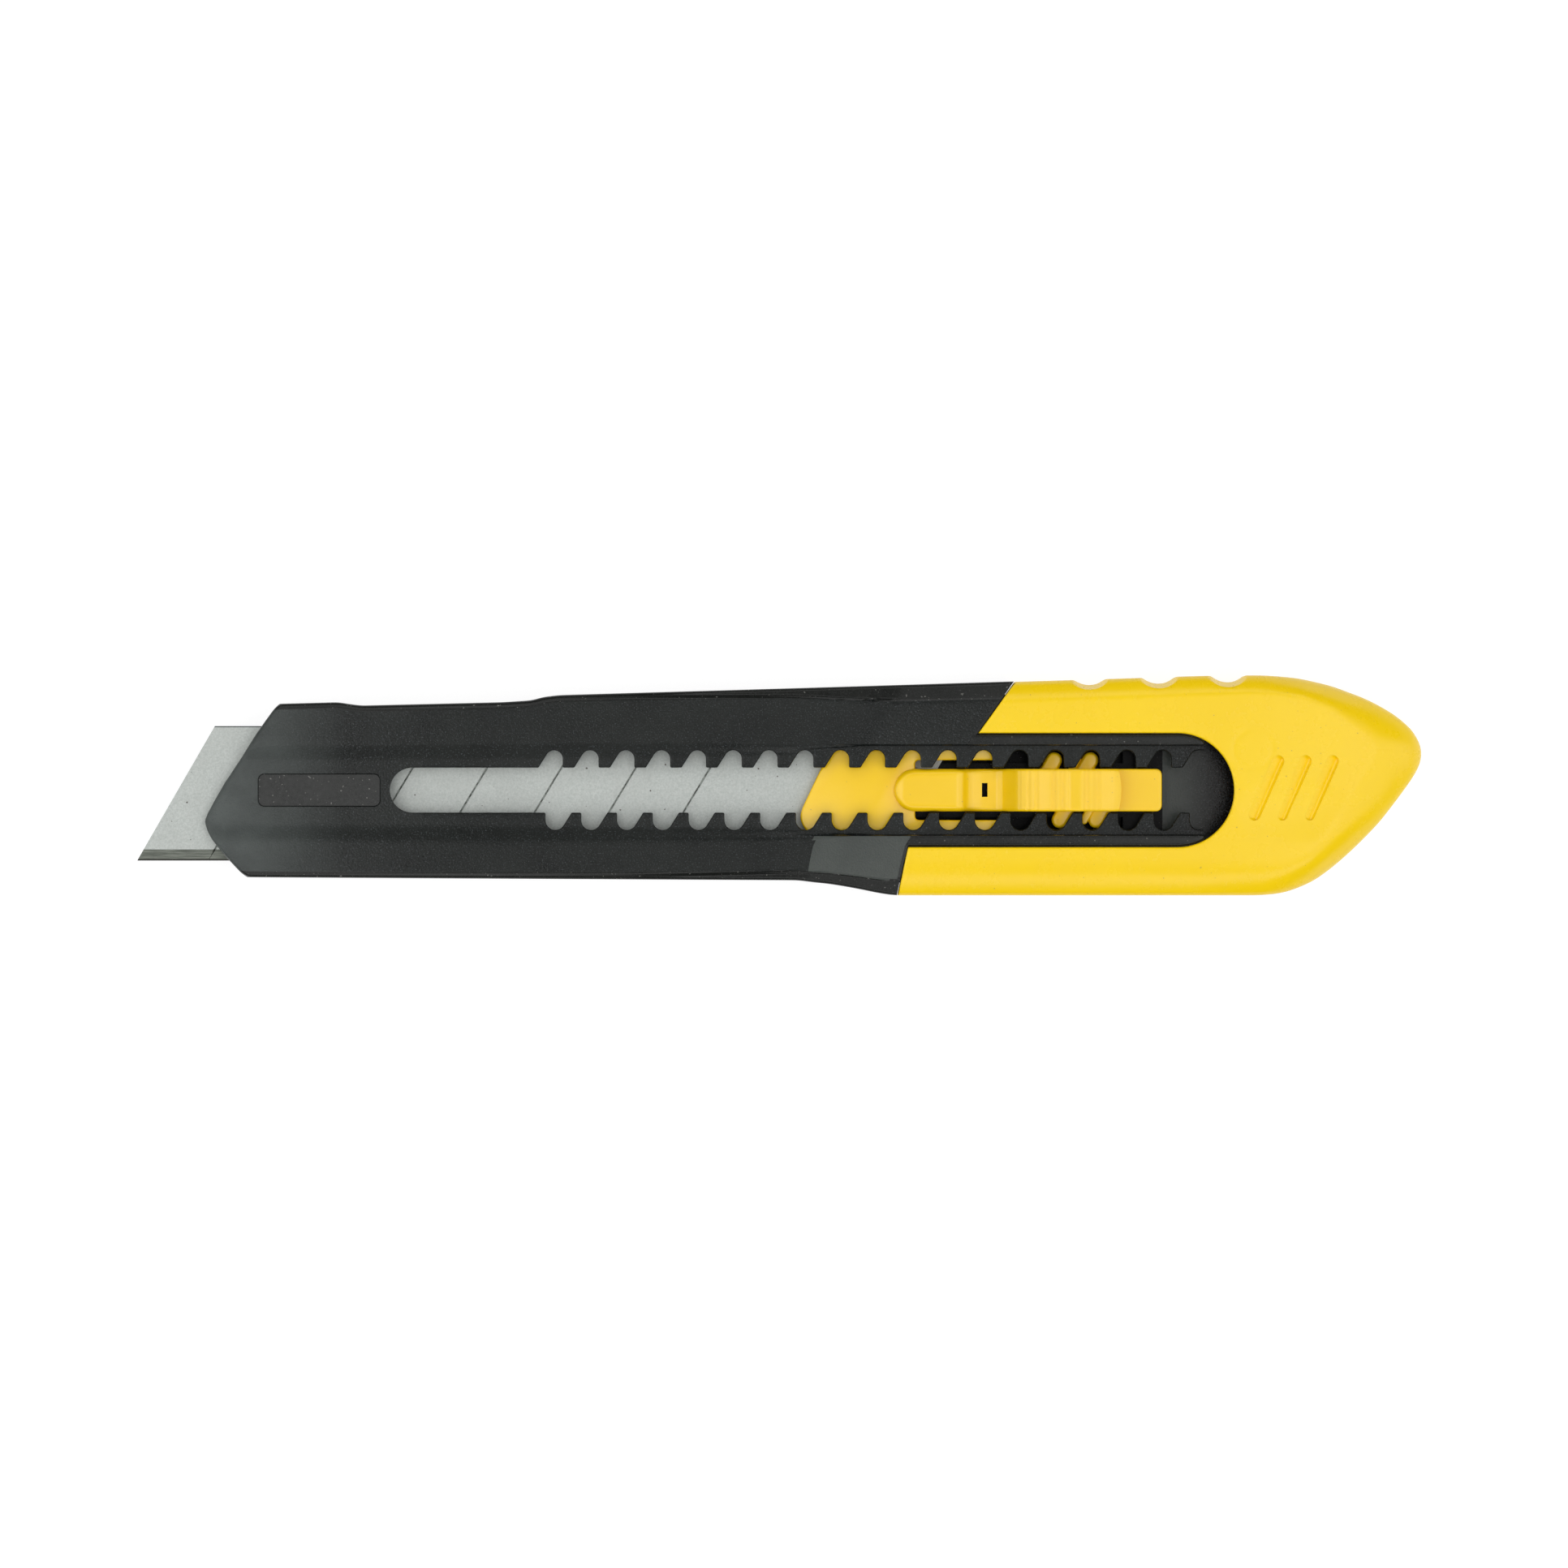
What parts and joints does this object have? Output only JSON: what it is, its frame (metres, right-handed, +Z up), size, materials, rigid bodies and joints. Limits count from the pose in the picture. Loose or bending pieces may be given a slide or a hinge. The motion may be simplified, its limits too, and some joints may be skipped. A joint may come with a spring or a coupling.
{
  "type": "snap-off knife",
  "caption": "Flat plastic cutter with a snap-off blade, a thumb slide that locks in notches along a window, and a pull-off rounded end cap",
  "frame": {"origin": "Under the middle of the bounding box, on the surface that the knife lies on with its back down", "axes": "X runs along the knife with the blade tip at -X and the end cap at +X, Y across it with the cutting edge at -Y, Z up out of the face with the thumb slide"},
  "size_m": [0.1718, 0.0294, 0.013],
  "materials": {
    "black_plastic": "spark-textured black moulding with a soft sheen",
    "yellow_cap": "smooth satin yellow moulding",
    "yellow_slide": "smooth glossy yellow moulding",
    "blade_steel": "fine ground steel with scored lines and a honed edge"
  },
  "bodies": {
    "housing": {"housing": "black_plastic"},
    "slider": {"blade": "blade_steel", "blade_carrier": "yellow_slide"},
    "thumb_lock": {"thumb_lock": "yellow_slide"},
    "end_cap": {"end_cap": "yellow_cap"}
  },
  "joints": [
    {"name": "blade_slide", "type": "slide", "parent": "housing", "child": "slider", "axis": [-1, 0, 0], "range_m": [-0.01434, 0.06692]},
    {"name": "lock_press", "type": "hinge", "parent": "slider", "child": "thumb_lock", "pos_m": [0.025, -0.00065, 0.0066], "axis": [0, 1, 0], "range_deg": [0, 4], "stiffness_Nm_per_rad": 0.6},
    {"name": "cap_pull", "type": "slide", "parent": "housing", "child": "end_cap", "axis": [1, 0, 0], "range_m": [0, 0.07]}
  ]
}
